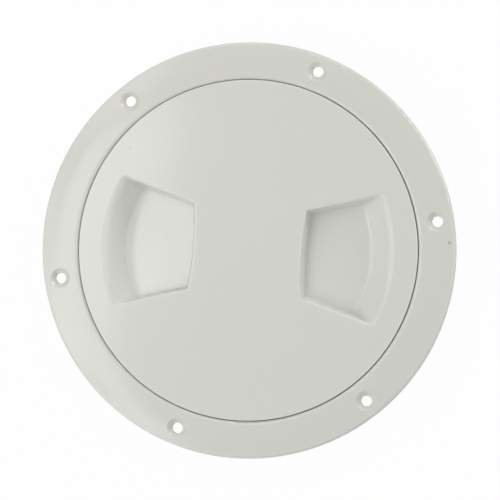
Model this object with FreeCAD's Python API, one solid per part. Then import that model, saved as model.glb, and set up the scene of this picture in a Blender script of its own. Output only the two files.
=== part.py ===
"""Round deck inspection plate: a flanged ring screwed down round a hole in a deck, and a
flush lid with two finger wells that screws into it over a rubber seal ring.

Origin: centre of the plate, in the plane where the flange's underside meets the deck.
+Z points up out of the deck, and +X runs through the finger wells with the lid done up.
Positive turns of the lid about +Z unscrew it.
"""

import FreeCAD, Part

import math
import os

Vector = FreeCAD.Vector
AXIS = Vector(0, 0, 1)
CENTRE = Vector(0, 0, 0)

# Driving dimensions, in millimetres and degrees

# Lid: a flat panel with a skirt under it
lid_diameter = 163.6
panel_thickness = 3.0
rim_thickness = 2.2
rim_overhang = 3.6
lid_edge_round = 0.45
skirt_depth = 16.0
skirt_wall = 2.6
skirt_foot_round = 0.65
neck_depth = 2.0
neck_step = 1.0
skirt_root_round = 1.6

# Finger wells: two wedge-shaped pockets, half a turn apart
well_inner_reach = 26.7
well_inner_half_width = 20.5
well_inner_bow = 1.3
well_side_angle = 16.0
well_rim_inset = 11.1
well_depth = 10.4
well_floor_tilt = 2.8
well_wall = 2.6
well_draft = 2.0
well_edge_round = 0.7
well_floor_round = 1.2
well_inner_corner = 1.2
well_outer_corner = 1.6

# A well's outer wall, from the lid's top down: lip, brow, slope, hollow, narrow ledge and foot
ramp_lip_round = 1.5
ramp_lip_lean = 16.0
ramp_brow_round = 6.0
ramp_slope_lean = 46.0
ramp_hollow_round = 9.5
ramp_hollow_lean = 28.0
ramp_ledge = 0.6
ramp_ledge_drop = 0.04
ramp_foot_round = 20.0
ramp_foot_lean = 11.5

# Stiffening ribs under the panel
rib_thickness = 2.0
rib_height = 6.0
rib_angles = (60.0, 90.0, 120.0)
hub_rib_radius = 17.0

# Thread between the lid's skirt and the ring's collar
thread_starts = 2
thread_lead = 12.0
ridge_height = 1.8
ridge_crest_width = 1.4
ridge_root_width = 3.0
thread_radial_clearance = 0.4
thread_flank_clearance = 0.25
ring_thread_top = -4.6
ring_thread_span = 240.0
lid_thread_span = 220.0
ridge_runout = 10.0
ridge_end_height = 0.2
ridge_weld = 0.5
ridge_facet_angle = 5.0

# Deck ring: a low crowned flange with a threaded collar that drops through the deck
rim_gap = 0.35
flange_width = 17.85
flange_thickness = 5.0
crown_inset = 9.5
crown_inner_fall = 1.0
crown_outer_fall = 5.0
crown_round = 130.0
flange_edge_round = 1.5
flange_lip_round = 1.6
flange_foot_round = 0.4
collar_wall = 4.6
collar_overhang = 4.0
collar_foot_round = 0.8
sealant_groove_depth = 0.8
sealant_groove_width = 1.6
sealant_groove_inset = 3.0

# Countersunk screw holes in the flange
screw_count = 6
screw_hole_diameter = 5.2
countersink_diameter = 9.8
countersink_angle = 90.0
screw_edge_distance = 8.0
first_screw_angle = 12.3

# Rubber seal ring, round in section, under the lid's rim
seal_section = 2.6
seal_clearance = 0.25
seal_seat_angle = 45.0

# How finely the wells' curved walls are drawn, and how far a cut runs past what it cuts
lip_strips = 3
brow_strips = 4
hollow_strips = 3
foot_strips = 2
floor_strips = 6
least_strip_height = 0.03
cut_overrun = 1.0

# Sizes that follow from them

lid_radius = lid_diameter / 2
lid_top = flange_thickness
rim_underside = lid_top - rim_thickness
panel_underside = lid_top - panel_thickness
neck_radius = lid_radius - rim_overhang
neck_bottom = rim_underside - seal_section - neck_depth
lid_core_radius = neck_radius - neck_step
lid_crest_radius = lid_core_radius + ridge_height
skirt_inner_radius = lid_core_radius - skirt_wall
skirt_bottom = -skirt_depth

flank_slope = (ridge_root_width - ridge_crest_width) / 2 / ridge_height
ring_crest_radius = lid_core_radius + thread_radial_clearance
ring_root_radius = ring_crest_radius + ridge_height
collar_radius = ring_root_radius + collar_wall
collar_bottom = skirt_bottom - collar_overhang
recess_radius = lid_radius + rim_gap
flange_radius = recess_radius + flange_width
screw_circle_radius = flange_radius - screw_edge_distance
crown_radius = flange_radius - crown_inset

seal_radius = seal_section / 2
seal_circle_radius = neck_radius + seal_radius + seal_clearance
seal_height = rim_underside - seal_radius - seal_clearance

well_outer_radius = lid_radius - well_rim_inset


def sin(degrees):
    return math.sin(math.radians(degrees))


def cos(degrees):
    return math.cos(math.radians(degrees))


def tan(degrees):
    return math.tan(math.radians(degrees))


ramp_brow_drop = ramp_brow_round * (cos(ramp_lip_lean) - cos(ramp_slope_lean))
ramp_hollow_drop = ramp_hollow_round * (cos(ramp_hollow_lean) - cos(ramp_slope_lean))
ramp_foot_drop = ramp_foot_round * (1 - cos(ramp_foot_lean))
slope_top_depth = ramp_lip_round * (1 - cos(ramp_lip_lean)) + ramp_brow_drop
hollow_foot_depth = well_depth - ramp_foot_drop - ramp_ledge_drop
slope_foot_depth = hollow_foot_depth - ramp_hollow_drop


def rounded_wire(corners, to_space):
    """Closed wire through (a, b, round) corners, each rounded by an arc tangent to its sides."""
    points = [to_space(a, b) for a, b, _ in corners]
    count = len(points)
    bends = []
    for index, (_, _, radius) in enumerate(corners):
        here = points[index]
        back = (points[index - 1] - here).normalize()
        ahead = (points[(index + 1) % count] - here).normalize()
        if radius == 0:
            bends.append((here, None, here))
            continue
        half_angle = back.getAngle(ahead) / 2
        reach = radius / math.tan(half_angle)
        inward = (back + ahead).normalize()
        middle = here + inward * (radius / math.sin(half_angle) - radius)
        bends.append((here + back * reach, middle, here + ahead * reach))
    edges = []
    for index, (start, middle, end) in enumerate(bends):
        if middle:
            edges.append(Part.Arc(start, middle, end).toShape())
        following = bends[(index + 1) % count][0]
        if end.distanceToPoint(following) > 1e-6:
            edges.append(Part.LineSegment(end, following).toShape())
    return Part.Wire(edges)


def in_section(radius, height):
    """Point of a section, in the half plane through +X and the axis."""
    return Vector(radius, 0, height)


def turned(corners):
    """Solid of revolution about the axis of a section given as (radius, height, round)."""
    return Part.Face(rounded_wire(corners, in_section)).revolve(CENTRE, AXIS, 360)


def spun(shape, angle):
    """Copy of a shape turned about the axis."""
    copy = shape.copy()
    copy.rotate(CENTRE, AXIS, angle)
    return copy


def ridge_section(root_radius, outward, middle_height, rise):
    """Trapezoid section of a thread ridge, its root sunk a little into the wall it stands on."""
    crest_radius = root_radius + outward * rise
    weld_radius = root_radius - outward * ridge_weld
    half_root = ridge_root_width / 2
    half_crest = half_root - flank_slope * rise
    return Part.makePolygon([
        in_section(weld_radius, middle_height - half_root),
        in_section(root_radius, middle_height - half_root),
        in_section(crest_radius, middle_height - half_crest),
        in_section(crest_radius, middle_height + half_crest),
        in_section(root_radius, middle_height + half_root),
        in_section(weld_radius, middle_height + half_root),
        in_section(weld_radius, middle_height - half_root),
    ])


def thread_ridge(root_radius, outward, foot_height, span):
    """One right-handed ridge that climbs from foot_height, on +X, and fades out at each end."""
    steps = round(span / ridge_facet_angle)
    sections = []
    for n in range(steps + 1):
        angle = span * n / steps
        fade = min(1.0, min(angle, span - angle) / ridge_runout)
        rise = ridge_end_height + (ridge_height - ridge_end_height) * fade
        section = ridge_section(root_radius, outward, foot_height + thread_lead * angle / 360, rise)
        sections.append(spun(section, angle))
    return Part.makeLoft(sections, True, True)


def thread(root_radius, outward, foot_height, foot_angle, span):
    """All the starts of a thread."""
    ridge = thread_ridge(root_radius, outward, foot_height, span)
    step = 360 / thread_starts
    return [spun(ridge, foot_angle + step * start) for start in range(thread_starts)]


def ring_thread_height(angle):
    """Height of the ring's first ridge at an angle from +X."""
    return ring_thread_top - thread_lead * (ring_thread_span - angle) / 360


def lid_thread_drop():
    """How far the lid's ridges lie under the ring's, flank to flank and a clearance apart."""
    overlap = lid_crest_radius - ring_crest_radius
    return ridge_crest_width + overlap * flank_slope + thread_flank_clearance


def seat_corners():
    """Upper and lower corner of the sloping seat that the seal ring is pressed on."""
    reach = seal_radius + seal_clearance
    touch_radius = seal_circle_radius + reach * sin(seal_seat_angle)
    touch_height = seal_height - reach * cos(seal_seat_angle)
    rise_out = tan(seal_seat_angle) * (recess_radius - touch_radius)
    fall_in = tan(seal_seat_angle) * (touch_radius - ring_root_radius)
    return (recess_radius, touch_height + rise_out), (ring_root_radius, touch_height - fall_in)


def sealant_groove(radius):
    """Corners of one groove in the flange's underside, from the inside out."""
    half = sealant_groove_width / 2
    return [
        (radius - half, 0, 0),
        (radius - half, sealant_groove_depth, 0),
        (radius + half, sealant_groove_depth, 0),
        (radius + half, 0, 0),
    ]


def crown_height(radius):
    """Height of the flange's top before its crown is rounded."""
    height = flange_thickness - (crown_radius - recess_radius) * tan(crown_inner_fall)
    fall = crown_outer_fall if radius > crown_radius else crown_inner_fall
    return height - (radius - crown_radius) * tan(fall)


def screw_hole():
    """Countersunk hole on +X, to be cut from the flange."""
    radius = screw_hole_diameter / 2
    mouth = countersink_diameter / 2
    mouth_height = crown_height(screw_circle_radius)
    sink = (mouth - radius) / tan(countersink_angle / 2)
    mouth_over = mouth + cut_overrun * tan(countersink_angle / 2)
    length = flange_thickness + 2 * cut_overrun
    hole = Part.makeCylinder(radius, length, Vector(0, 0, -cut_overrun))
    cone = Part.makeCone(radius, mouth_over, sink + cut_overrun, Vector(0, 0, mouth_height - sink))
    hole = hole.fuse(cone)
    hole.translate(Vector(screw_circle_radius, 0, 0))
    return hole


def deck_ring():
    """Flange, seal seat and threaded collar, moulded in one piece."""
    (seat_top_radius, seat_top), (seat_foot_radius, seat_foot) = seat_corners()
    inner_groove = collar_radius + sealant_groove_inset
    outer_groove = flange_radius - sealant_groove_inset
    body = turned([
        (collar_radius, 0, 0),
        *sealant_groove(inner_groove),
        *sealant_groove(outer_groove),
        (flange_radius, 0, flange_foot_round),
        (flange_radius, crown_height(flange_radius), flange_edge_round),
        (crown_radius, crown_height(crown_radius), crown_round),
        (recess_radius, flange_thickness, flange_lip_round),
        (seat_top_radius, seat_top, 0),
        (seat_foot_radius, seat_foot, 0),
        (ring_root_radius, collar_bottom, collar_foot_round),
        (collar_radius, collar_bottom, collar_foot_round),
    ])
    foot = ring_thread_height(0)
    body = body.fuse(thread(ring_root_radius, -1, foot, 0, ring_thread_span))
    step = 360 / screw_count
    holes = [spun(screw_hole(), first_screw_angle + step * n) for n in range(screw_count)]
    return body.cut(holes)


def spread(low, high, count):
    """Values from low to high, both included."""
    return [low + (high - low) * n / count for n in range(count + 1)]


def ramp_bend(start, bend_round, top_lean, foot_lean, strips):
    """Points (radius, depth) down an arc of the ramp, from one lean off the level to another."""
    radius, depth = start
    points = []
    for lean in spread(top_lean, foot_lean, strips)[1:]:
        run = bend_round * abs(sin(lean) - sin(top_lean))
        drop = bend_round * abs(cos(lean) - cos(top_lean))
        points.append((radius - run, depth + drop))
    return points


def ramp_profile():
    """Points (radius, depth) down the well's outer wall."""
    lip = ramp_bend((well_outer_radius, 0.0), ramp_lip_round, 0, ramp_lip_lean, lip_strips)
    brow = ramp_bend(lip[-1], ramp_brow_round, ramp_lip_lean, ramp_slope_lean, brow_strips)
    run = (slope_foot_depth - slope_top_depth) / tan(ramp_slope_lean)
    slope_foot = (brow[-1][0] - run, slope_foot_depth)
    hollow = ramp_bend(slope_foot, ramp_hollow_round, ramp_slope_lean, ramp_hollow_lean, hollow_strips)
    ledge_end = (hollow[-1][0] - ramp_ledge, hollow_foot_depth + ramp_ledge_drop)
    foot = ramp_bend(ledge_end, ramp_foot_round, ramp_foot_lean, 0, foot_strips)
    return [(well_outer_radius, 0.0), *lip, *brow, slope_foot, *hollow, ledge_end, *foot]


ramp_points = ramp_profile()
ramp_foot_radius = ramp_points[-1][0]


def ramp_radius(depth):
    """Radius of the well's outer wall at a depth, on the strip that it lies on."""
    for (outer, upper), (inner, lower) in zip(ramp_points, ramp_points[1:]):
        if depth <= lower:
            return outer + (inner - outer) * (depth - upper) / (lower - upper)
    return ramp_foot_radius


def wall_inset(depth):
    """How far the well's inner and side walls stand in from their outline at a depth."""
    inset = max(0.0, depth - well_edge_round) * tan(well_draft)
    if depth < well_edge_round:
        inset -= well_edge_round - math.sqrt(well_edge_round**2 - (well_edge_round - depth) ** 2)
    into_floor = depth - (well_depth - well_floor_round)
    if into_floor > 0:
        inset += well_floor_round - math.sqrt(max(0.0, well_floor_round**2 - into_floor**2))
    return inset


def corner_arc(circle_centre, circle_radius, side_shift, corner_round, outward):
    """Arc that rounds the corner between a side wall and an arc wall, from side to arc.

    The side wall's line is the outline's, moved in by side_shift.
    """
    along = Vector(cos(well_side_angle), sin(well_side_angle), 0)
    inward = Vector(sin(well_side_angle), -cos(well_side_angle), 0)
    corner = Vector(well_inner_reach + well_inner_bow, well_inner_half_width, 0)
    start = corner + inward * (side_shift + corner_round)
    to_start = start - circle_centre
    ahead = to_start.dot(along)
    reach = circle_radius - corner_round
    half_chord = math.sqrt(ahead**2 - to_start.dot(to_start) + reach**2)
    centre = start + along * (outward * half_chord - ahead)
    on_side = centre - inward * corner_round
    on_arc = centre + (centre - circle_centre).normalize() * corner_round
    middle = (on_side + on_arc - centre * 2).normalize() * corner_round + centre
    return on_side, middle, on_arc


def mirrored(point):
    return Vector(point.x, -point.y, point.z)


def well_outline(depth, inset, outer_radius, wall=0.0):
    """Closed outline of a well, or of the wall round it, at a depth under the lid's top.

    The deeper it lies, the more it tilts with the floor, which falls away from the middle.
    """
    grow = wall + max(0.0, -inset - wall)
    bow_radius = (well_inner_half_width**2 + well_inner_bow**2) / 2 / well_inner_bow
    bow_centre = Vector(well_inner_reach + bow_radius, 0, 0)
    inner_radius = bow_radius - inset
    inner = corner_arc(bow_centre, inner_radius, inset, well_inner_corner + grow, -1)
    outer = corner_arc(CENTRE, outer_radius, inset, well_outer_corner + grow, 1)
    inner_middle = bow_centre - Vector(inner_radius, 0, 0)
    outer_middle = Vector(outer_radius, 0, 0)
    pieces = [
        Part.Arc(mirrored(inner[2]), inner_middle, inner[2]),
        Part.Arc(inner[2], inner[1], inner[0]),
        Part.LineSegment(inner[0], outer[0]),
        Part.Arc(outer[0], outer[1], outer[2]),
        Part.Arc(outer[2], outer_middle, mirrored(outer[2])),
        Part.Arc(mirrored(outer[2]), mirrored(outer[1]), mirrored(outer[0])),
        Part.LineSegment(mirrored(outer[0]), mirrored(inner[0])),
        Part.Arc(mirrored(inner[0]), mirrored(inner[1]), mirrored(inner[2])),
    ]
    wire = Part.Wire([piece.toShape() for piece in pieces])
    tilt = well_floor_tilt * min(depth / well_depth, 1)
    wire.rotate(Vector(ramp_foot_radius, 0, 0), Vector(0, 1, 0), tilt)
    wire.translate(Vector(0, 0, lid_top - depth))
    return wire


def well_levels():
    """Depths at which the well's outline is drawn, closer together where a wall curves."""
    lip = [well_edge_round * (1 - cos(lean)) for lean in spread(0, 90, lip_strips)]
    floor = [well_depth - well_floor_round * (1 - sin(lean)) for lean in spread(0, 90, floor_strips)]
    ramp = [depth for _, depth in ramp_points]
    levels = sorted([*lip, *ramp, *floor])
    kept = levels[:1]
    for level in levels[1:]:
        if level - kept[-1] > least_strip_height:
            kept.append(level)
    return kept


def well_cavity():
    """Hollow of the well on +X, with a plug above the lid's top for a clean cut."""
    outlines = [well_outline(t, wall_inset(t), ramp_radius(t)) for t in well_levels()]
    hollow = Part.makeLoft(outlines, True, True)
    mouth = Part.Face(outlines[0]).extrude(Vector(0, 0, cut_overrun))
    return hollow.fuse(mouth)


def well_pocket():
    """Outside of the well's walls, from inside the panel down to under the floor."""
    across = well_wall / sin(ramp_slope_lean)
    bottom = well_depth + well_wall
    outlines = []
    for depth in (panel_thickness / 2, slope_foot_depth, hollow_foot_depth, bottom):
        inset = wall_inset(min(depth, well_depth - well_floor_round)) - well_wall
        radius = ramp_radius(min(depth, hollow_foot_depth)) + across
        outlines.append(well_outline(depth, inset, radius, well_wall))
    return Part.makeLoft(outlines, True, True)


def panel_ribs():
    """Radial ribs from the hub to the skirt, and the round rib at the hub."""
    sink = panel_thickness / 2
    foot = panel_underside - rib_height
    half = rib_thickness / 2
    hub = Part.makeCylinder(hub_rib_radius + half, rib_height + sink, Vector(0, 0, foot))
    hub = hub.cut(Part.makeCylinder(hub_rib_radius - half, rib_height, Vector(0, 0, foot)))
    length = skirt_inner_radius + skirt_wall / 2 - hub_rib_radius
    rib = Part.makeBox(length, rib_thickness, rib_height + sink, Vector(hub_rib_radius, -half, foot))
    ribs = [spun(rib, angle + half_turn) for angle in rib_angles for half_turn in (0, 180)]
    return [hub, *ribs]


def screw_lid():
    """Panel, skirt, thread, ribs and finger wells, moulded in one piece."""
    body = turned([
        (0, lid_top, 0),
        (lid_radius, lid_top, lid_edge_round),
        (lid_radius, rim_underside, lid_edge_round / 2),
        (neck_radius, rim_underside, 0),
        (neck_radius, neck_bottom, 0),
        (lid_core_radius, neck_bottom - neck_step, 0),
        (lid_core_radius, skirt_bottom, skirt_foot_round),
        (skirt_inner_radius, skirt_bottom, skirt_foot_round),
        (skirt_inner_radius, panel_underside, skirt_root_round),
        (0, panel_underside, 0),
    ])
    foot_angle = ring_thread_span - lid_thread_span
    foot = ring_thread_height(foot_angle) - lid_thread_drop()
    body = body.fuse(thread(lid_core_radius, 1, foot, foot_angle, lid_thread_span))
    pocket = well_pocket()
    body = body.fuse([pocket, spun(pocket, 180), *panel_ribs()])
    cavity = well_cavity()
    return body.cut([cavity, spun(cavity, 180)])


def seal_ring():
    """Rubber ring stretched round the lid's neck, under its rim."""
    return Part.makeTorus(seal_circle_radius, seal_radius, Vector(0, 0, seal_height))


def export(name, shape):
    solid = shape.Solids[0]
    print(f"{name}: {len(shape.Solids)} solid, valid {solid.isValid()}, {solid.Volume / 1000:.2f} cm3")
    solid.exportStep(os.path.join("parts", name + ".step"))


os.makedirs("parts", exist_ok=True)
export("deck_ring", deck_ring())
export("screw_lid", screw_lid())
export("seal_ring", seal_ring())
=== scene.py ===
import math

import bmesh
import bpy
from mathutils import Matrix, Vector


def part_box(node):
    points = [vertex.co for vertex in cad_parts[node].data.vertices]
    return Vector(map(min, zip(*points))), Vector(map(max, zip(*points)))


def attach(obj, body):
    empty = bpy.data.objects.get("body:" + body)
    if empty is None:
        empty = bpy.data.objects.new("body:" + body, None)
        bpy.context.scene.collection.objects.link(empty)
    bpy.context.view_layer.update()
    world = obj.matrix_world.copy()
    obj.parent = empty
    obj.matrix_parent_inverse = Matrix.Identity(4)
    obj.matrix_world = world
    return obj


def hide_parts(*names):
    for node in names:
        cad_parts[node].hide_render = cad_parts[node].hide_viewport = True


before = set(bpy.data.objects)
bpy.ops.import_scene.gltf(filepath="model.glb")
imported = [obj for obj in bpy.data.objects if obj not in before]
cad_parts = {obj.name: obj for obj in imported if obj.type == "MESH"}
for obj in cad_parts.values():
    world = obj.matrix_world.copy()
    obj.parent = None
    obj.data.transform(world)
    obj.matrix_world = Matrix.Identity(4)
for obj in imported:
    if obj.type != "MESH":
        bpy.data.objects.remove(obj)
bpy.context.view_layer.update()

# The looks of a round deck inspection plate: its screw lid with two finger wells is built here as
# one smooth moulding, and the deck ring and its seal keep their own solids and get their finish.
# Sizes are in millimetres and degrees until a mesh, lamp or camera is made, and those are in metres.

MM = 0.001

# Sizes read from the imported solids

lid_low, lid_high = (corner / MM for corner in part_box("screw_lid"))
ring_low, _ = (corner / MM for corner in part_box("deck_ring"))
lid_radius = lid_high.x
lid_top = lid_high.z
skirt_bottom = lid_low.z
collar_bottom = ring_low.z

# Lid: panel, rim and skirt

panel_thickness = 3.0
rim_thickness = 2.2
rim_overhang = 3.6
lid_edge_round = 0.45
skirt_wall = 2.6
skirt_foot_round = 0.65
skirt_root_round = 1.6
neck_height = 4.6
neck_step = 1.0

# Finger wells: the outline at the lid's top, the floor and the walls

well_inner_reach = 26.0
well_inner_half_width = 20.8
well_inner_bow = 1.3
well_side_angle = 16.0
well_depth = 10.0
well_floor_tilt = 2.8
well_wall = 2.6
well_draft = 9.0
well_edge_round = 1.3
well_floor_round = 0.5
well_inner_corner = 1.2
well_outer_corner = 1.6
well_outer_radius = lid_radius - 11.1
well_turn = -0.5

# A well's outer wall, from the lid's top down: lip, brow, slope, hollow, narrow ledge and foot

ramp_lip_round = 0.4
ramp_lip_lean = 14.0
ramp_brow_round = 8.0
ramp_slope_lean = 47.0
ramp_hollow_round = 3.0
ramp_hollow_lean = 12.0
ramp_ledge = 0.6
ramp_ledge_drop = 0.095
ramp_foot_round = 70.0
ramp_foot_lean = 4.5

# Ribs under the panel

rib_thickness = 2.0
rib_height = 6.0
rib_angles = (60.0, 90.0, 120.0)
rib_edge_round = 0.3
hub_rib_radius = 17.0

# Thread round the skirt

thread_starts = 2
thread_lead = 12.0
ridge_height = 1.8
ridge_crest_width = 1.4
ridge_root_width = 3.0
ridge_runout = 10.0
ridge_end_height = 0.2
ridge_weld = 0.5
ring_thread_top = -4.6
ring_thread_span = 240.0
lid_thread_span = 220.0
thread_radial_clearance = 0.4
thread_flank_clearance = 0.25

# How finely the lid is meshed

turn_steps = 360
arc_steps = 6
rib_arc_steps = 3
well_round_steps = 10
well_side_steps = 12
well_inner_arc_steps = 24
well_outer_arc_steps = 48
least_row_drop = 0.001
ridge_step_angle = 2.0
weld_reach = 0.0005
sharp_angle = 32.0
flat_face_weight = 90

# Sizes that follow from them

rim_underside = lid_top - rim_thickness
panel_underside = lid_top - panel_thickness
neck_radius = lid_radius - rim_overhang
lid_core_radius = neck_radius - neck_step
neck_bottom = rim_underside - neck_height
skirt_inner_radius = lid_core_radius - skirt_wall
flank_slope = (ridge_root_width - ridge_crest_width) / 2 / ridge_height

# Plastic and rubber: colours as screen values from 0 to 255, the lowest and the highest roughness,
# the grain's depth, and the glow of light that soaks in, as a share and a depth. Scales of the
# grain and the tone count cells in a metre.

lid_colours = ((235, 236, 230), (232, 233, 227))
ring_colours = ((233, 233, 227), (230, 230, 223))
rubber_colours = ((34, 34, 33), (44, 43, 41))
mark_colour = (112, 106, 94)
lid_roughness = (0.085, 0.11)
ring_roughness = (0.105, 0.135)
rubber_roughness = (0.5, 0.7)
plastic_grain_depth = 0.0008
rubber_grain_depth = 0.01
plastic_grain = {"Grain Scale": 2400.0, "Ripple Scale": 60.0, "Ripple Share": 0.6}
rubber_grain = {"Grain Scale": 1500.0, "Ripple Scale": 200.0, "Ripple Share": 0.4}
tone_change = {"Scale": 9.0, "Share": 0.8}
plastic_glow = 0.6
rubber_glow = 0.0
glow_depth = 1.2
glow_colour_reach = (1.0, 0.9, 0.8)

# Small marks on the lid and on the ring: where, how far they reach, and how strong they are

lid_marks = [
    ((-47.2, -1.0, -4.0), 1.0, 0.22),
    ((-41.0, 4.3, -4.0), 0.8, 0.2),
    ((-43.8, 5.8, -4.0), 0.7, 0.18),
    ((-60.0, 45.5, 5.0), 0.8, 0.2),
]
ring_marks = [((96.3, 9.8, 3.6), 1.3, 0.9)]

# The photograph: where the camera stands, how far the part is turned in it, and its scale and
# centre in pixels

camera_distance = 1200.0
camera_nearest = 50.0
camera_farthest = 20000.0
camera_right = 6.59964
camera_up = -1.606986
part_turn = -4.0
image_size = 500
pixels_per_tangent = 2493.6
centre_pixel = (248.18, 250.21)
sensor_width = 36.0

# Studio: the floor, the even light from all round, one long lamp and the square panels. Lamps
# stand so many degrees from overhead and round the part, and their light is a radiance.

floor_reach = 2500.0
floor_gap = 0.05
floor_white = 0.9
floor_roughness = 0.9
floor_gloss = 0.1
floor_share_seen_white = 0.97
room_light = 0.143
long_lamp_place = (17.4, 181.4, 1600.0)
long_lamp_size = (300.0, 560.0)
long_lamp_turn = -20.0
long_lamp_light = 2.75
panel_distance = 1200.0
panel_size = (500.0, 500.0)
panel_lights = {
    35: {0: 1.75, 90: 1.15, 135: 1.55, 180: 1.4, 225: 2.45, 270: 0.4},
    58: {0: 0.9, 90: 0.95, 180: 1.6, 225: 1.1},
    76: {0: 0.8, 45: 5.0, 90: 0.65, 180: 0.25, 225: 1.0, 270: 1.35},
}


# Curves and outlines

def sin(degrees):
    return math.sin(math.radians(degrees))


def cos(degrees):
    return math.cos(math.radians(degrees))


def tan(degrees):
    return math.tan(math.radians(degrees))


def rounded(corners, steps=arc_steps):
    """Points along a line through (a, b, round) corners, each corner rounded by an arc."""
    points = [Vector((a, b)) for a, b, _ in corners]
    line = []
    for index, (_, _, radius) in enumerate(corners):
        here = points[index]
        if radius == 0:
            line.append(here)
            continue
        back = (points[index - 1] - here).normalized()
        ahead = (points[index + 1] - here).normalized()
        half = back.angle(ahead) / 2
        centre = here + (back + ahead).normalized() * (radius / math.sin(half))
        start = here + back * (radius / math.tan(half)) - centre
        sweep = math.pi - 2 * half
        if back.cross(ahead) > 0:
            sweep = -sweep
        for n in range(steps + 1):
            line.append(centre + Matrix.Rotation(sweep * n / steps, 2) @ start)
    return line


def spread(low, high, count):
    """Values from low to high, both included."""
    return [low + (high - low) * n / count for n in range(count + 1)]


def mesh_piece(name, build):
    """An object whose mesh the build function makes in millimetres, smooth but for sharp corners."""
    shape = bmesh.new()
    build(shape)
    bmesh.ops.remove_doubles(shape, verts=shape.verts, dist=weld_reach)
    bmesh.ops.recalc_face_normals(shape, faces=shape.faces)
    for face in shape.faces:
        face.smooth = True
    for edge in shape.edges:
        if edge.is_manifold and edge.calc_face_angle() > math.radians(sharp_angle):
            edge.smooth = False
    bmesh.ops.scale(shape, vec=(MM, MM, MM), verts=shape.verts)
    mesh = bpy.data.meshes.new(name)
    shape.to_mesh(mesh)
    shape.free()
    piece = bpy.data.objects.new(name, mesh)
    bpy.context.scene.collection.objects.link(piece)
    return piece


def evened(piece):
    """Shades the large flat faces of a piece flat, and its sharp corners sharp."""
    even = piece.modifiers.new("even_normals", "WEIGHTED_NORMAL")
    even.keep_sharp = True
    even.weight = flat_face_weight
    return piece


def skin(shape, rings, closed=True):
    """Quads between rings of points that match one to one."""
    rows = [[shape.verts.new(point) for point in ring] for ring in rings]
    count = len(rows[0])
    for low, high in zip(rows, rows[1:]):
        for n in range(count if closed else count - 1):
            after = (n + 1) % count
            shape.faces.new((low[n], low[after], high[after], high[n]))
    return rows


def crease(shape, row, reach):
    """Marks as sharp the edges along a row of vertices that lie at least so far from the axis."""
    for n, vertex in enumerate(row):
        after = row[(n + 1) % len(row)]
        if min(vertex.co.xy.length, after.co.xy.length) > reach:
            shape.edges.get((vertex, after)).smooth = False


def turned(shape, line):
    """Skin of a line of (radius, height) points turned about the axis."""
    rings = []
    for radius, height in line:
        ring = []
        for n in range(turn_steps):
            angle = 360 * n / turn_steps
            ring.append((radius * cos(angle), radius * sin(angle), height))
        rings.append(ring)
    return skin(shape, rings)


def flat_between(shape, loops):
    """Flat face between an outer loop of vertices and the holes in it."""
    edges = []
    for loop in loops:
        for n, vertex in enumerate(loop):
            pair = (vertex, loop[(n + 1) % len(loop)])
            edges.append(shape.edges.get(pair) or shape.edges.new(pair))
    bmesh.ops.triangle_fill(shape, edges=edges, use_beauty=True)


def turned_to(way):
    """A function that turns points so far about the axis."""
    turn = Matrix.Rotation(math.radians(way), 3, "Z")
    return lambda points: [turn @ Vector(point) for point in points]


# Finger wells

def ramp_bend(start, bend_round, top_lean, foot_lean, steps=well_round_steps):
    """Points (radius, depth) down an arc of the ramp, from one lean off the level to another."""
    radius, depth = start
    points = []
    for lean in spread(top_lean, foot_lean, steps)[1:]:
        run = bend_round * abs(sin(lean) - sin(top_lean))
        drop = bend_round * abs(cos(lean) - cos(top_lean))
        points.append((radius - run, depth + drop))
    return points


def ramp_profile():
    """Points (radius, depth) down a well's outer wall, and the depths where slope and hollow end."""
    lip = ramp_bend((well_outer_radius, 0.0), ramp_lip_round, 0, ramp_lip_lean)
    brow = ramp_bend(lip[-1], ramp_brow_round, ramp_lip_lean, ramp_slope_lean)
    foot_drop = ramp_foot_round * (1 - cos(ramp_foot_lean))
    hollow_drop = ramp_hollow_round * (cos(ramp_hollow_lean) - cos(ramp_slope_lean))
    hollow_foot_depth = well_depth - foot_drop - ramp_ledge_drop
    slope_foot_depth = hollow_foot_depth - hollow_drop
    run = (slope_foot_depth - brow[-1][1]) / tan(ramp_slope_lean)
    slope_foot = (brow[-1][0] - run, slope_foot_depth)
    hollow = ramp_bend(slope_foot, ramp_hollow_round, ramp_slope_lean, ramp_hollow_lean)
    ledge_end = (hollow[-1][0] - ramp_ledge, hollow_foot_depth + ramp_ledge_drop)
    foot = ramp_bend(ledge_end, ramp_foot_round, ramp_foot_lean, 0)
    points = [(well_outer_radius, 0.0), *lip, *brow, slope_foot, *hollow, ledge_end, *foot]
    return points, slope_foot_depth, hollow_foot_depth


ramp_points, slope_foot_depth, hollow_foot_depth = ramp_profile()
ramp_foot_radius = ramp_points[-1][0]
ledge_depths = (hollow_foot_depth, hollow_foot_depth + ramp_ledge_drop)


def ramp_radius(depth):
    """Radius of the well's outer wall at a depth, on the strip that it lies on."""
    for (outer, upper), (inner, lower) in zip(ramp_points, ramp_points[1:]):
        if depth <= lower:
            return outer + (inner - outer) * (depth - upper) / (lower - upper)
    return ramp_foot_radius


def wall_inset(depth):
    """How far the well's inner and side walls stand in from their outline at a depth."""
    inset = max(0.0, depth - well_edge_round) * tan(well_draft)
    if depth < well_edge_round:
        inset -= well_edge_round - math.sqrt(well_edge_round**2 - (well_edge_round - depth) ** 2)
    into_floor = depth - (well_depth - well_floor_round)
    if into_floor > 0:
        inset += well_floor_round - math.sqrt(max(0.0, well_floor_round**2 - into_floor**2))
    return inset


def arc_points(centre, start, end, steps):
    """Points from start to end on the shorter arc about a centre, both included."""
    first = start - centre
    sweep = math.atan2(first.cross(end - centre), first.dot(end - centre))
    return [centre + Matrix.Rotation(sweep * n / steps, 2) @ first for n in range(steps + 1)]


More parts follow.
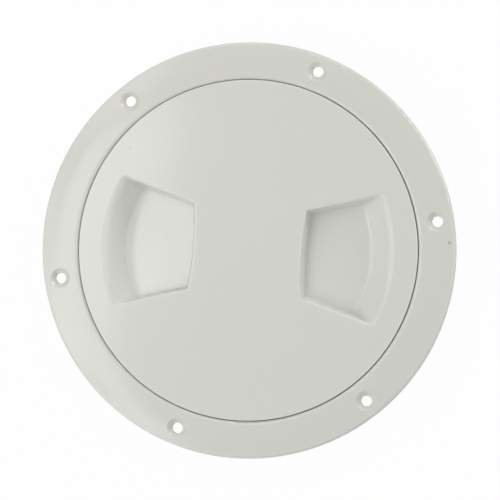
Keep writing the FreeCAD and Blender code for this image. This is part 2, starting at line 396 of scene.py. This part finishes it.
def corner_points(circle_centre, circle_radius, side_shift, corner_round, outward):
    """Points round the corner between a side wall and an arc wall, from side to arc.

    outward is 1 for the outer arc and -1 for the inner one.
    """
    along = Vector((cos(well_side_angle), sin(well_side_angle)))
    inward = Vector((sin(well_side_angle), -cos(well_side_angle)))
    corner = Vector((well_inner_reach + well_inner_bow, well_inner_half_width))
    start = corner + inward * (side_shift + corner_round)
    to_start = start - circle_centre
    ahead = to_start.dot(along)
    reach = circle_radius - corner_round
    half_chord = math.sqrt(ahead**2 - to_start.dot(to_start) + reach**2)
    centre = start + along * (outward * half_chord - ahead)
    on_side = centre - inward * corner_round
    on_arc = centre + (centre - circle_centre).normalized() * corner_round
    return arc_points(centre, on_side, on_arc, arc_steps)


def well_outline(depth, inset, outer_radius, wall=0.0):
    """Closed outline of a well at a depth under the lid's top, or of the outside of its wall.

    inset moves the inner and side walls in, wall is the thickness that is stood outside them,
    and the corners' rounds grow with what lies outside the well's own outline.
    """
    grow = wall + max(0.0, -inset - wall)
    bow_radius = (well_inner_half_width**2 + well_inner_bow**2) / 2 / well_inner_bow
    bow_centre = Vector((well_inner_reach + bow_radius, 0))
    axis = Vector((0, 0))
    inner = corner_points(bow_centre, bow_radius - inset, inset, well_inner_corner + grow, -1)
    outer = corner_points(axis, outer_radius, inset, well_outer_corner + grow, 1)
    shares = [n / well_side_steps for n in range(1, well_side_steps)]
    side = [inner[0].lerp(outer[0], share) for share in shares]
    half = inner[::-1] + side + outer
    other_half = [Vector((point.x, -point.y)) for point in half[::-1]]
    outer_arc = arc_points(axis, half[-1], other_half[0], well_outer_arc_steps)[1:-1]
    inner_arc = arc_points(bow_centre, other_half[-1], half[0], well_inner_arc_steps)[1:-1]
    tilt = well_floor_tilt * min(depth / well_depth, 1)
    ring = []
    for point in half + outer_arc + other_half + inner_arc:
        out = point.x - ramp_foot_radius
        x = ramp_foot_radius + out * cos(tilt)
        ring.append((x, point.y, lid_top - depth - out * sin(tilt)))
    return ring


def well_depths():
    """Depths at which the well's outline is drawn, closer together where a wall curves."""
    lip = [well_edge_round * (1 - cos(lean)) for lean in spread(0, 90, well_round_steps)]
    floor = [well_depth - well_floor_round * (1 - sin(lean)) for lean in spread(0, 90, well_round_steps)]
    ramp = [depth for _, depth in ramp_points]
    depths = sorted([*lip, *ramp, *floor])
    kept = depths[:1]
    for depth in depths[1:]:
        if depth - kept[-1] > least_row_drop or depth in ledge_depths:
            kept.append(depth)
    return kept


def add_well(shape, turn):
    """One well, from its lip down to its floor. Returns the lip's vertices."""
    depths = well_depths()
    rings = [turn(well_outline(depth, wall_inset(depth), ramp_radius(depth))) for depth in depths]
    rows = skin(shape, rings)
    for depth, row in zip(depths, rows):
        if depth in ledge_depths:
            crease(shape, row, ramp_radius(depth) - ramp_ledge / 2)
    flat_between(shape, rows[-1:])
    return rows[0]


def add_pocket(shape, turn):
    """Outside of a well's walls under the panel. Returns its vertices at the panel."""
    across = well_wall / sin(ramp_slope_lean)
    rings = []
    for depth in (panel_thickness, slope_foot_depth, hollow_foot_depth, well_depth + well_wall):
        inset = wall_inset(min(depth, well_depth - well_floor_round)) - well_wall
        radius = ramp_radius(min(depth, hollow_foot_depth)) + across
        ring = well_outline(depth, inset, radius, well_wall)
        if depth == panel_thickness:
            ring = [(x, y, panel_underside) for x, y, _ in ring]
        rings.append(turn(ring))
    rows = skin(shape, rings)
    flat_between(shape, rows[-1:])
    return rows[0]


# Lid

def add_lid_body(shape):
    """Panel, rim and skirt, with both wells let into the panel."""
    outside = rounded([
        (0, lid_top, 0),
        (lid_radius, lid_top, lid_edge_round),
        (lid_radius, rim_underside, lid_edge_round / 2),
        (neck_radius, rim_underside, 0),
        (neck_radius, neck_bottom, 0),
        (lid_core_radius, neck_bottom - neck_step, 0),
        (lid_core_radius, skirt_bottom, skirt_foot_round),
        (skirt_inner_radius, skirt_bottom, skirt_foot_round),
        (skirt_inner_radius, panel_underside, skirt_root_round),
        (0, panel_underside, 0),
    ])
    rows = turned(shape, outside[1:-1])
    ways = [turned_to(well_turn + way) for way in (0, 180)]
    wells = [add_well(shape, turn) for turn in ways]
    pockets = [add_pocket(shape, turn) for turn in ways]
    flat_between(shape, [rows[0], *wells])
    flat_between(shape, [rows[-1], *pockets])


def add_ribs(shape):
    """Round rib at the hub and the radial ribs from it to the skirt."""
    foot = panel_underside - rib_height
    top = panel_underside + panel_thickness / 2
    half = rib_thickness / 2
    section = [
        (half, top, 0),
        (half, foot, rib_edge_round),
        (-half, foot, rib_edge_round),
        (-half, top, 0),
    ]
    turned(shape, rounded([(hub_rib_radius + a, b, edge) for a, b, edge in section]))
    profile = rounded(section[::-1], rib_arc_steps)
    ends = (hub_rib_radius, skirt_inner_radius + skirt_wall / 2)
    for angle in rib_angles:
        for way in (angle, angle + 180):
            rings = [turned_to(way)([(reach, a, b) for a, b in profile]) for reach in ends]
            skin(shape, rings, closed=False)


def ridge_ring(angle, start_angle, foot, rise):
    """Trapezoid section of the lid's thread ridge, at an angle along it."""
    crest = lid_core_radius + rise
    sunk = lid_core_radius - ridge_weld
    height = foot + thread_lead * angle / 360
    half_root = ridge_root_width / 2
    half_crest = half_root - flank_slope * rise
    section = [
        (sunk, height - half_root),
        (lid_core_radius, height - half_root),
        (crest, height - half_crest),
        (crest, height + half_crest),
        (lid_core_radius, height + half_root),
        (sunk, height + half_root),
    ]
    way = start_angle + angle
    return [(radius * cos(way), radius * sin(way), z) for radius, z in section]


def add_thread(shape):
    """Both ridges of the lid's thread, each fading out at its ends."""
    foot_angle = ring_thread_span - lid_thread_span
    ring_foot = ring_thread_top - thread_lead * (ring_thread_span - foot_angle) / 360
    overlap = ridge_height - thread_radial_clearance
    drop = ridge_crest_width + overlap * flank_slope + thread_flank_clearance
    steps = round(lid_thread_span / ridge_step_angle)
    for start in range(thread_starts):
        rings = []
        for angle in spread(0, lid_thread_span, steps):
            fade = min(1.0, min(angle, lid_thread_span - angle) / ridge_runout)
            rise = ridge_end_height + (ridge_height - ridge_end_height) * fade
            start_angle = foot_angle + 360 / thread_starts * start
            rings.append(ridge_ring(angle, start_angle, ring_foot - drop, rise))
        rows = skin(shape, rings)
        for end in (rows[0], rows[-1]):
            shape.faces.new(end)


def build_lid(shape):
    """The whole lid: its body, the ribs under it and the thread round its skirt."""
    add_lid_body(shape)
    add_ribs(shape)
    add_thread(shape)


# Finishes: effects shared by the materials

def new_group(name, inputs, outputs):
    """Empty shader node group with named sockets. Returns it with its input and output nodes."""
    group = bpy.data.node_groups.new(name, "ShaderNodeTree")
    for socket_name, kind in inputs:
        group.interface.new_socket(name=socket_name, in_out="INPUT", socket_type=kind)
    for socket_name, kind in outputs:
        group.interface.new_socket(name=socket_name, in_out="OUTPUT", socket_type=kind)
    source = group.nodes.new("NodeGroupInput")
    result = group.nodes.new("NodeGroupOutput")
    return group, source, result


def math_node(tree, operation, first, second, clamp=False):
    """A maths node whose inputs are sockets or plain numbers. Returns its output."""
    node = tree.nodes.new("ShaderNodeMath")
    node.operation = operation
    node.use_clamp = clamp
    for index, value in enumerate((first, second)):
        if isinstance(value, float):
            node.inputs[index].default_value = value
        else:
            tree.links.new(value, node.inputs[index])
    return node.outputs[0]


def noise_node(tree, place, scale, detail, rough=0.5):
    """A noise texture at a place, with its scale from a socket. Returns its value."""
    node = tree.nodes.new("ShaderNodeTexNoise")
    node.inputs["Detail"].default_value = detail
    node.inputs["Roughness"].default_value = rough
    tree.links.new(place, node.inputs["Vector"])
    tree.links.new(scale, node.inputs["Scale"])
    return node.outputs["Fac"]


def moulded_grain():
    """Fine texture that a moulding takes from its mould: a height, and a value for its polish."""
    group, source, result = new_group(
        "moulded_grain",
        [("Place", "NodeSocketVector"), ("Grain Scale", "NodeSocketFloat"),
         ("Ripple Scale", "NodeSocketFloat"), ("Ripple Share", "NodeSocketFloat")],
        [("Height", "NodeSocketFloat"), ("Polish", "NodeSocketFloat")],
    )
    place, ripple_scale = source.outputs["Place"], source.outputs["Ripple Scale"]
    grain = noise_node(group, place, source.outputs["Grain Scale"], detail=2.0)
    ripple = noise_node(group, place, ripple_scale, detail=1.0)
    rippled = math_node(group, "MULTIPLY", ripple, source.outputs["Ripple Share"])
    height = math_node(group, "ADD", grain, rippled)
    group.links.new(height, result.inputs["Height"])
    patches = noise_node(group, place, ripple_scale, detail=3.0, rough=0.6)
    group.links.new(patches, result.inputs["Polish"])
    return group


def tone_drift():
    """Slow change of a colour over a surface, towards a second colour."""
    group, source, result = new_group(
        "tone_drift",
        [("Place", "NodeSocketVector"), ("Scale", "NodeSocketFloat"), ("Share", "NodeSocketFloat"),
         ("Main", "NodeSocketColor"), ("Second", "NodeSocketColor")],
        [("Colour", "NodeSocketColor")],
    )
    cloud = noise_node(group, source.outputs["Place"], source.outputs["Scale"], detail=3.0)
    share = math_node(group, "MULTIPLY", cloud, source.outputs["Share"])
    mix = group.nodes.new("ShaderNodeMix")
    mix.data_type = "RGBA"
    group.links.new(share, mix.inputs["Factor"])
    group.links.new(source.outputs["Main"], mix.inputs["A"])
    group.links.new(source.outputs["Second"], mix.inputs["B"])
    group.links.new(mix.outputs["Result"], result.inputs["Colour"])
    return group


def small_mark():
    """Mask of one small round mark at a spot, soft at its edge."""
    group, source, result = new_group(
        "small_mark",
        [("Place", "NodeSocketVector"), ("Spot", "NodeSocketVector"),
         ("Reach", "NodeSocketFloat"), ("Strength", "NodeSocketFloat")],
        [("Mask", "NodeSocketFloat")],
    )
    away = group.nodes.new("ShaderNodeVectorMath")
    away.operation = "DISTANCE"
    group.links.new(source.outputs["Place"], away.inputs[0])
    group.links.new(source.outputs["Spot"], away.inputs[1])
    share = math_node(group, "DIVIDE", away.outputs["Value"], source.outputs["Reach"])
    near = math_node(group, "SUBTRACT", 1.0, share, clamp=True)
    mask = math_node(group, "MULTIPLY", near, source.outputs["Strength"])
    group.links.new(mask, result.inputs["Mask"])
    return group


def linear(red, green, blue):
    """A colour given as the 0 to 255 values of a screen, as a shader takes it."""
    channels = []
    for value in (red, green, blue):
        share = value / 255
        channels.append(share / 12.92 if share <= 0.04045 else ((share + 0.055) / 1.055) ** 2.4)
    return (*channels, 1.0)


def placed(tree, group, values, place):
    """A node group placed in a material, with its own values and the place on the part."""
    node = tree.nodes.new("ShaderNodeGroup")
    node.node_tree = group
    for name, value in values.items():
        node.inputs[name].default_value = value
    tree.links.new(place, node.inputs["Place"])
    return node


def marked(tree, mark_group, marks, place, colour):
    """A colour with small dark marks over it. Returns its socket."""
    for spot, reach, strength in marks:
        values = {"Spot": Vector(spot) * MM, "Reach": reach * MM, "Strength": strength}
        mark = placed(tree, mark_group, values, place)
        mix = tree.nodes.new("ShaderNodeMix")
        mix.data_type = "RGBA"
        mix.inputs["B"].default_value = linear(*mark_colour)
        tree.links.new(mark.outputs["Mask"], mix.inputs["Factor"])
        tree.links.new(colour, mix.inputs["A"])
        colour = mix.outputs["Result"]
    return colour


def moulded_material(name, groups, colours, roughness, grain_depth, grain, marks, glow):
    """Moulded plastic or rubber: drifting tone, fine grain, uneven polish and a few small marks."""
    material = bpy.data.materials.new(name)
    material.use_nodes = True
    tree = material.node_tree
    shader = tree.nodes["Principled BSDF"]
    place = tree.nodes.new("ShaderNodeTexCoord").outputs["Object"]
    shader.inputs["Subsurface Weight"].default_value = glow
    shader.inputs["Subsurface Scale"].default_value = glow_depth * MM
    shader.inputs["Subsurface Radius"].default_value = glow_colour_reach

    main, second = (linear(*colour) for colour in colours)
    tone = placed(tree, groups["tone"], {"Main": main, "Second": second, **tone_change}, place)
    colour = marked(tree, groups["mark"], marks, place, tone.outputs["Colour"])
    tree.links.new(colour, shader.inputs["Base Color"])

    texture = placed(tree, groups["grain"], grain, place)
    polish = tree.nodes.new("ShaderNodeMapRange")
    polish.inputs["To Min"].default_value = roughness[0]
    polish.inputs["To Max"].default_value = roughness[1]
    tree.links.new(texture.outputs["Polish"], polish.inputs["Value"])
    tree.links.new(polish.outputs["Result"], shader.inputs["Roughness"])

    bump = tree.nodes.new("ShaderNodeBump")
    bump.inputs["Strength"].default_value = 1.0
    bump.inputs["Distance"].default_value = grain_depth * MM
    tree.links.new(texture.outputs["Height"], bump.inputs["Height"])
    tree.links.new(bump.outputs["Normal"], shader.inputs["Normal"])
    return material


def finish_part(lid):
    """Gives the lid, the ring and the seal their materials."""
    groups = {"grain": moulded_grain(), "tone": tone_drift(), "mark": small_mark()}
    lid_finish = moulded_material(
        "lid_plastic_finish", groups, lid_colours, lid_roughness,
        plastic_grain_depth, plastic_grain, lid_marks, plastic_glow,
    )
    ring_finish = moulded_material(
        "ring_plastic_finish", groups, ring_colours, ring_roughness,
        plastic_grain_depth, plastic_grain, ring_marks, plastic_glow,
    )
    rubber_finish = moulded_material(
        "seal_rubber_finish", groups, rubber_colours, rubber_roughness,
        rubber_grain_depth, rubber_grain, [], rubber_glow,
    )
    lid.data.materials.append(lid_finish)
    for node, finish in (("deck_ring", ring_finish), ("seal_ring", rubber_finish)):
        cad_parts[node].material_slots[0].material = finish


# Studio

def photo_turned(vector):
    """A direction or place given as the photograph is seen, in the part's own frame."""
    return turned_to(-part_turn)([vector])[0]


def make_camera():
    """Camera at the photograph's viewing angle."""
    right = sin(camera_right)
    up = sin(camera_up)
    sight = Vector((right, up, math.sqrt(1 - right**2 - up**2)))
    side = (-sight).cross(Vector((0, 1, 0))).normalized()
    top = side.cross(-sight)
    axes = [photo_turned(axis) for axis in (side, top, sight)]
    data = bpy.data.cameras.new("camera")
    data.sensor_width = sensor_width
    data.lens = pixels_per_tangent / image_size * sensor_width
    data.shift_x = (image_size / 2 - centre_pixel[0]) / image_size
    data.shift_y = (centre_pixel[1] - image_size / 2) / image_size
    data.clip_start = camera_nearest * MM
    data.clip_end = camera_farthest * MM
    camera = bpy.data.objects.new("camera", data)
    stand = Matrix.Translation(axes[2] * camera_distance * MM)
    camera.matrix_world = stand @ Matrix(axes).transposed().to_4x4()
    bpy.context.scene.collection.objects.link(camera)
    bpy.context.scene.camera = camera


def make_lamp(name, place, size, light, turn=0.0):
    """Soft lamp aimed at the plate. Its place is degrees from overhead, degrees round, and distance.

    The degrees are those of the photograph. At no turn a lamp's length points up in it.
    """
    zenith, azimuth, distance = place
    width, length = (side * MM for side in size)
    data = bpy.data.lights.new(name, "AREA")
    data.shape = "RECTANGLE"
    data.size = width
    data.size_y = length
    data.energy = light * math.pi * width * length
    lamp = bpy.data.objects.new(name, data)
    way = photo_turned((sin(zenith) * cos(azimuth), sin(zenith) * sin(azimuth), cos(zenith)))
    side = photo_turned((0, 1, 0)).cross(way).normalized()
    axes = Matrix((side, way.cross(side), way)).transposed()
    lamp.location = way * distance * MM
    lamp.rotation_euler = (axes @ Matrix.Rotation(math.radians(turn), 3, "Z")).to_euler()
    bpy.context.scene.collection.objects.link(lamp)


def make_lamps():
    """The long lamp, whose reflection shows on the left of the flange, and the panels round it."""
    make_lamp("long_lamp", long_lamp_place, long_lamp_size, long_lamp_light, long_lamp_turn)
    for zenith, lights in panel_lights.items():
        for azimuth, light in lights.items():
            place = (zenith, azimuth, panel_distance)
            make_lamp(f"panel_{zenith}_{azimuth}", place, panel_size, light)


def make_world():
    """Even light from all round, and white where the camera sees past the floor."""
    world = bpy.data.worlds.new("studio")
    bpy.context.scene.world = world
    world.use_nodes = True
    tree = world.node_tree
    even = tree.nodes["Background"]
    even.inputs["Color"].default_value = (1.0, 1.0, 1.0, 1.0)
    even.inputs["Strength"].default_value = room_light
    white = tree.nodes.new("ShaderNodeBackground")
    white.inputs["Color"].default_value = (1.0, 1.0, 1.0, 1.0)
    path = tree.nodes.new("ShaderNodeLightPath")
    mix = tree.nodes.new("ShaderNodeMixShader")
    tree.links.new(path.outputs["Is Camera Ray"], mix.inputs["Fac"])
    tree.links.new(even.outputs["Background"], mix.inputs[1])
    tree.links.new(white.outputs["Background"], mix.inputs[2])
    tree.links.new(mix.outputs["Shader"], tree.nodes["World Output"].inputs["Surface"])


def floor_material():
    """White floor that the camera sees nearly shadowless."""
    material = bpy.data.materials.new("white_floor")
    material.use_nodes = True
    tree = material.node_tree
    shader = tree.nodes["Principled BSDF"]
    shader.inputs["Base Color"].default_value = (floor_white, floor_white, floor_white, 1.0)
    shader.inputs["Roughness"].default_value = floor_roughness
    shader.inputs["Specular IOR Level"].default_value = floor_gloss
    glow = tree.nodes.new("ShaderNodeEmission")
    glow.inputs["Strength"].default_value = 1.0
    path = tree.nodes.new("ShaderNodeLightPath")
    seen = math_node(tree, "MULTIPLY", path.outputs["Is Camera Ray"], floor_share_seen_white)
    mix = tree.nodes.new("ShaderNodeMixShader")
    tree.links.new(seen, mix.inputs["Fac"])
    tree.links.new(shader.outputs["BSDF"], mix.inputs[1])
    tree.links.new(glow.outputs["Emission"], mix.inputs[2])
    tree.links.new(mix.outputs["Shader"], tree.nodes["Material Output"].inputs["Surface"])
    return material


def build_floor(shape):
    """One large square just under the collar."""
    height = collar_bottom - floor_gap
    ways = ((-1, -1), (1, -1), (1, 1), (-1, 1))
    shape.faces.new([shape.verts.new((x * floor_reach, y * floor_reach, height)) for x, y in ways])


def make_floor():
    """Floor that the collar stands on."""
    floor = mesh_piece("floor", build_floor)
    floor.data.materials.append(floor_material())


def main():
    make_camera()
    make_world()
    make_lamps()
    make_floor()
    lid = evened(mesh_piece("lid_moulding", build_lid))
    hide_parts("screw_lid")
    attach(lid, "lid")
    finish_part(lid)
    bpy.context.scene.view_settings.view_transform = "Standard"
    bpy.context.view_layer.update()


main()
